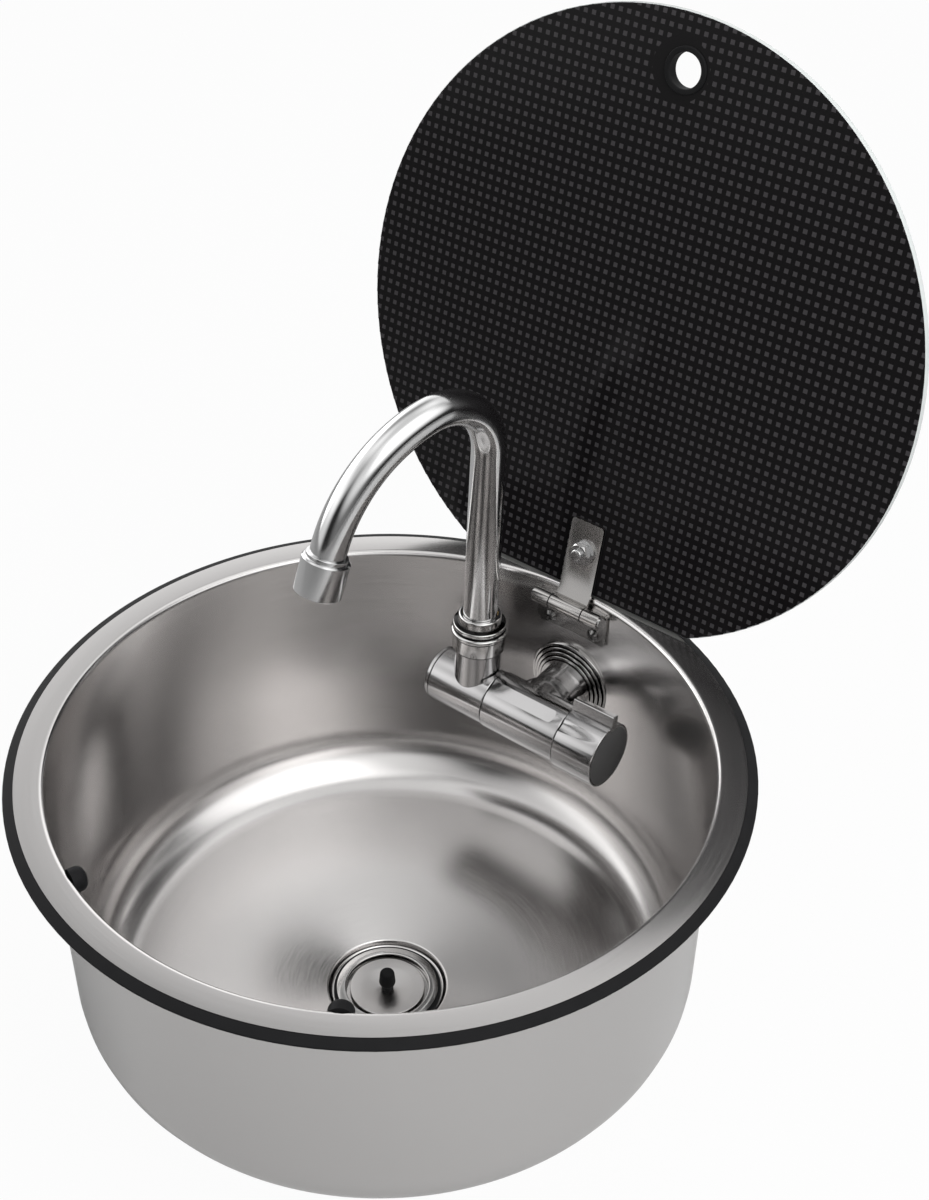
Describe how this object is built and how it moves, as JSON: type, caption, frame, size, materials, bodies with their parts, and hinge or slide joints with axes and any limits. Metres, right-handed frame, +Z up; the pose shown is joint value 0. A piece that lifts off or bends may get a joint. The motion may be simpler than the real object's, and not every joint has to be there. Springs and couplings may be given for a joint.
{
  "type": "camper sink",
  "caption": "Round drop-in steel sink with a hinged dark glass lid, a folding swivel tap inside the bowl and a lift-out strainer waste.",
  "frame": {"origin": "bowl's centre in the plane of the worktop, under the rim gasket", "axes": "+Z up along the bowl's axis; +Y towards the lid's hinge at the back; +X to the right of someone at the front"},
  "size_m": [0.3911, 0.4552, 0.5742],
  "materials": {
    "bowl_steel": "satin, brushed around the wall",
    "black_rubber": "matt moulded rubber",
    "hinge_steel": "stamped stainless, lightly polished",
    "fastener_steel": "bright plated steel",
    "dark_glass": "toughened glass, back-painted black with small grey squares",
    "white_plastic": "moulded plastic",
    "tap_chrome": "polished plate",
    "tap_satin": "satin plate",
    "raw_brass": "plain machined brass",
    "ceramic": "polished technical ceramic",
    "dark_plastic": "fine-grained moulded plastic",
    "spout_chrome": "mirror-polished plate",
    "strainer_steel": "pressed stainless"
  },
  "bodies": {
    "basin": {"bowl": "bowl_steel", "rim_gasket": "black_rubber", "lid_bumpers": "black_rubber", "hinge_plate": "hinge_steel", "hinge_pin": "hinge_steel", "hinge_screws": "fastener_steel", "hinge_screw_nuts": "fastener_steel", "tap_flange": "tap_chrome", "tap_body": "tap_satin", "journal_seals": "black_rubber", "elbow_retainer": "fastener_steel", "shank_seal": "black_rubber", "shank_washer": "fastener_steel", "shank_nut": "raw_brass", "inlet_tail": "raw_brass", "tail_nut": "raw_brass", "valve_cartridge": "raw_brass", "valve_disc_fixed": "ceramic", "waste_flange": "spout_chrome", "waste_gasket": "black_rubber", "waste_washer": "black_rubber", "waste_nut": "white_plastic", "waste_cup": "white_plastic"},
    "lid": {"lid_glass": "dark_glass", "lid_grommet": "black_rubber", "lid_strap": "hinge_steel", "strap_pad": "black_rubber", "lid_bolt": "fastener_steel", "lid_bolt_sleeve": "white_plastic", "lid_bolt_washer": "fastener_steel", "lid_bolt_nut": "fastener_steel"},
    "elbow": {"folding_elbow": "tap_satin", "elbow_end_cap": "tap_satin", "collar_nut": "tap_satin"},
    "spout": {"spout_tube": "spout_chrome", "spout_foot": "raw_brass", "spout_seals": "black_rubber", "aerator_housing": "spout_chrome", "aerator_insert": "white_plastic"},
    "knob": {"tap_knob": "tap_satin", "knob_screw": "fastener_steel", "knob_cap": "dark_plastic", "valve_spindle": "raw_brass", "valve_disc_turning": "ceramic"},
    "strainer": {"strainer_cover": "spout_chrome", "strainer_basket": "strainer_steel", "strainer_stem": "strainer_steel", "strainer_knob": "dark_plastic"}
  },
  "joints": [
    {"name": "lid_hinge", "type": "hinge", "parent": "basin", "child": "lid", "pos_m": [0.001, 0.16585, -0.0032], "axis": [1, 0, 0], "range_deg": [0, 104]},
    {"name": "spout_fold", "type": "hinge", "parent": "basin", "child": "elbow", "pos_m": [-0.038, 0.13192, -0.062], "axis": [1, 0, 0], "range_deg": [0, 93]},
    {"name": "spout_swivel", "type": "hinge", "parent": "elbow", "child": "spout", "pos_m": [-0.038, 0.13192, -0.062], "axis": [0, 0.0523, 0.9986], "range_deg": [-60, 102]},
    {"name": "tap_knob_turn", "type": "hinge", "parent": "basin", "child": "knob", "pos_m": [0.029, 0.13192, -0.062], "axis": [1, 0, 0], "range_deg": [0, 90]},
    {"name": "strainer_lift", "type": "slide", "parent": "basin", "child": "strainer", "axis": [0, 0, 1], "range_m": [0, 0.06]}
  ],
  "couplings": [
    {"joint": "spout_fold", "follows": "lid_hinge", "ratio": 0.89423},
    {"joint": "spout_swivel", "follows": "lid_hinge", "ratio": 0.98077}
  ]
}
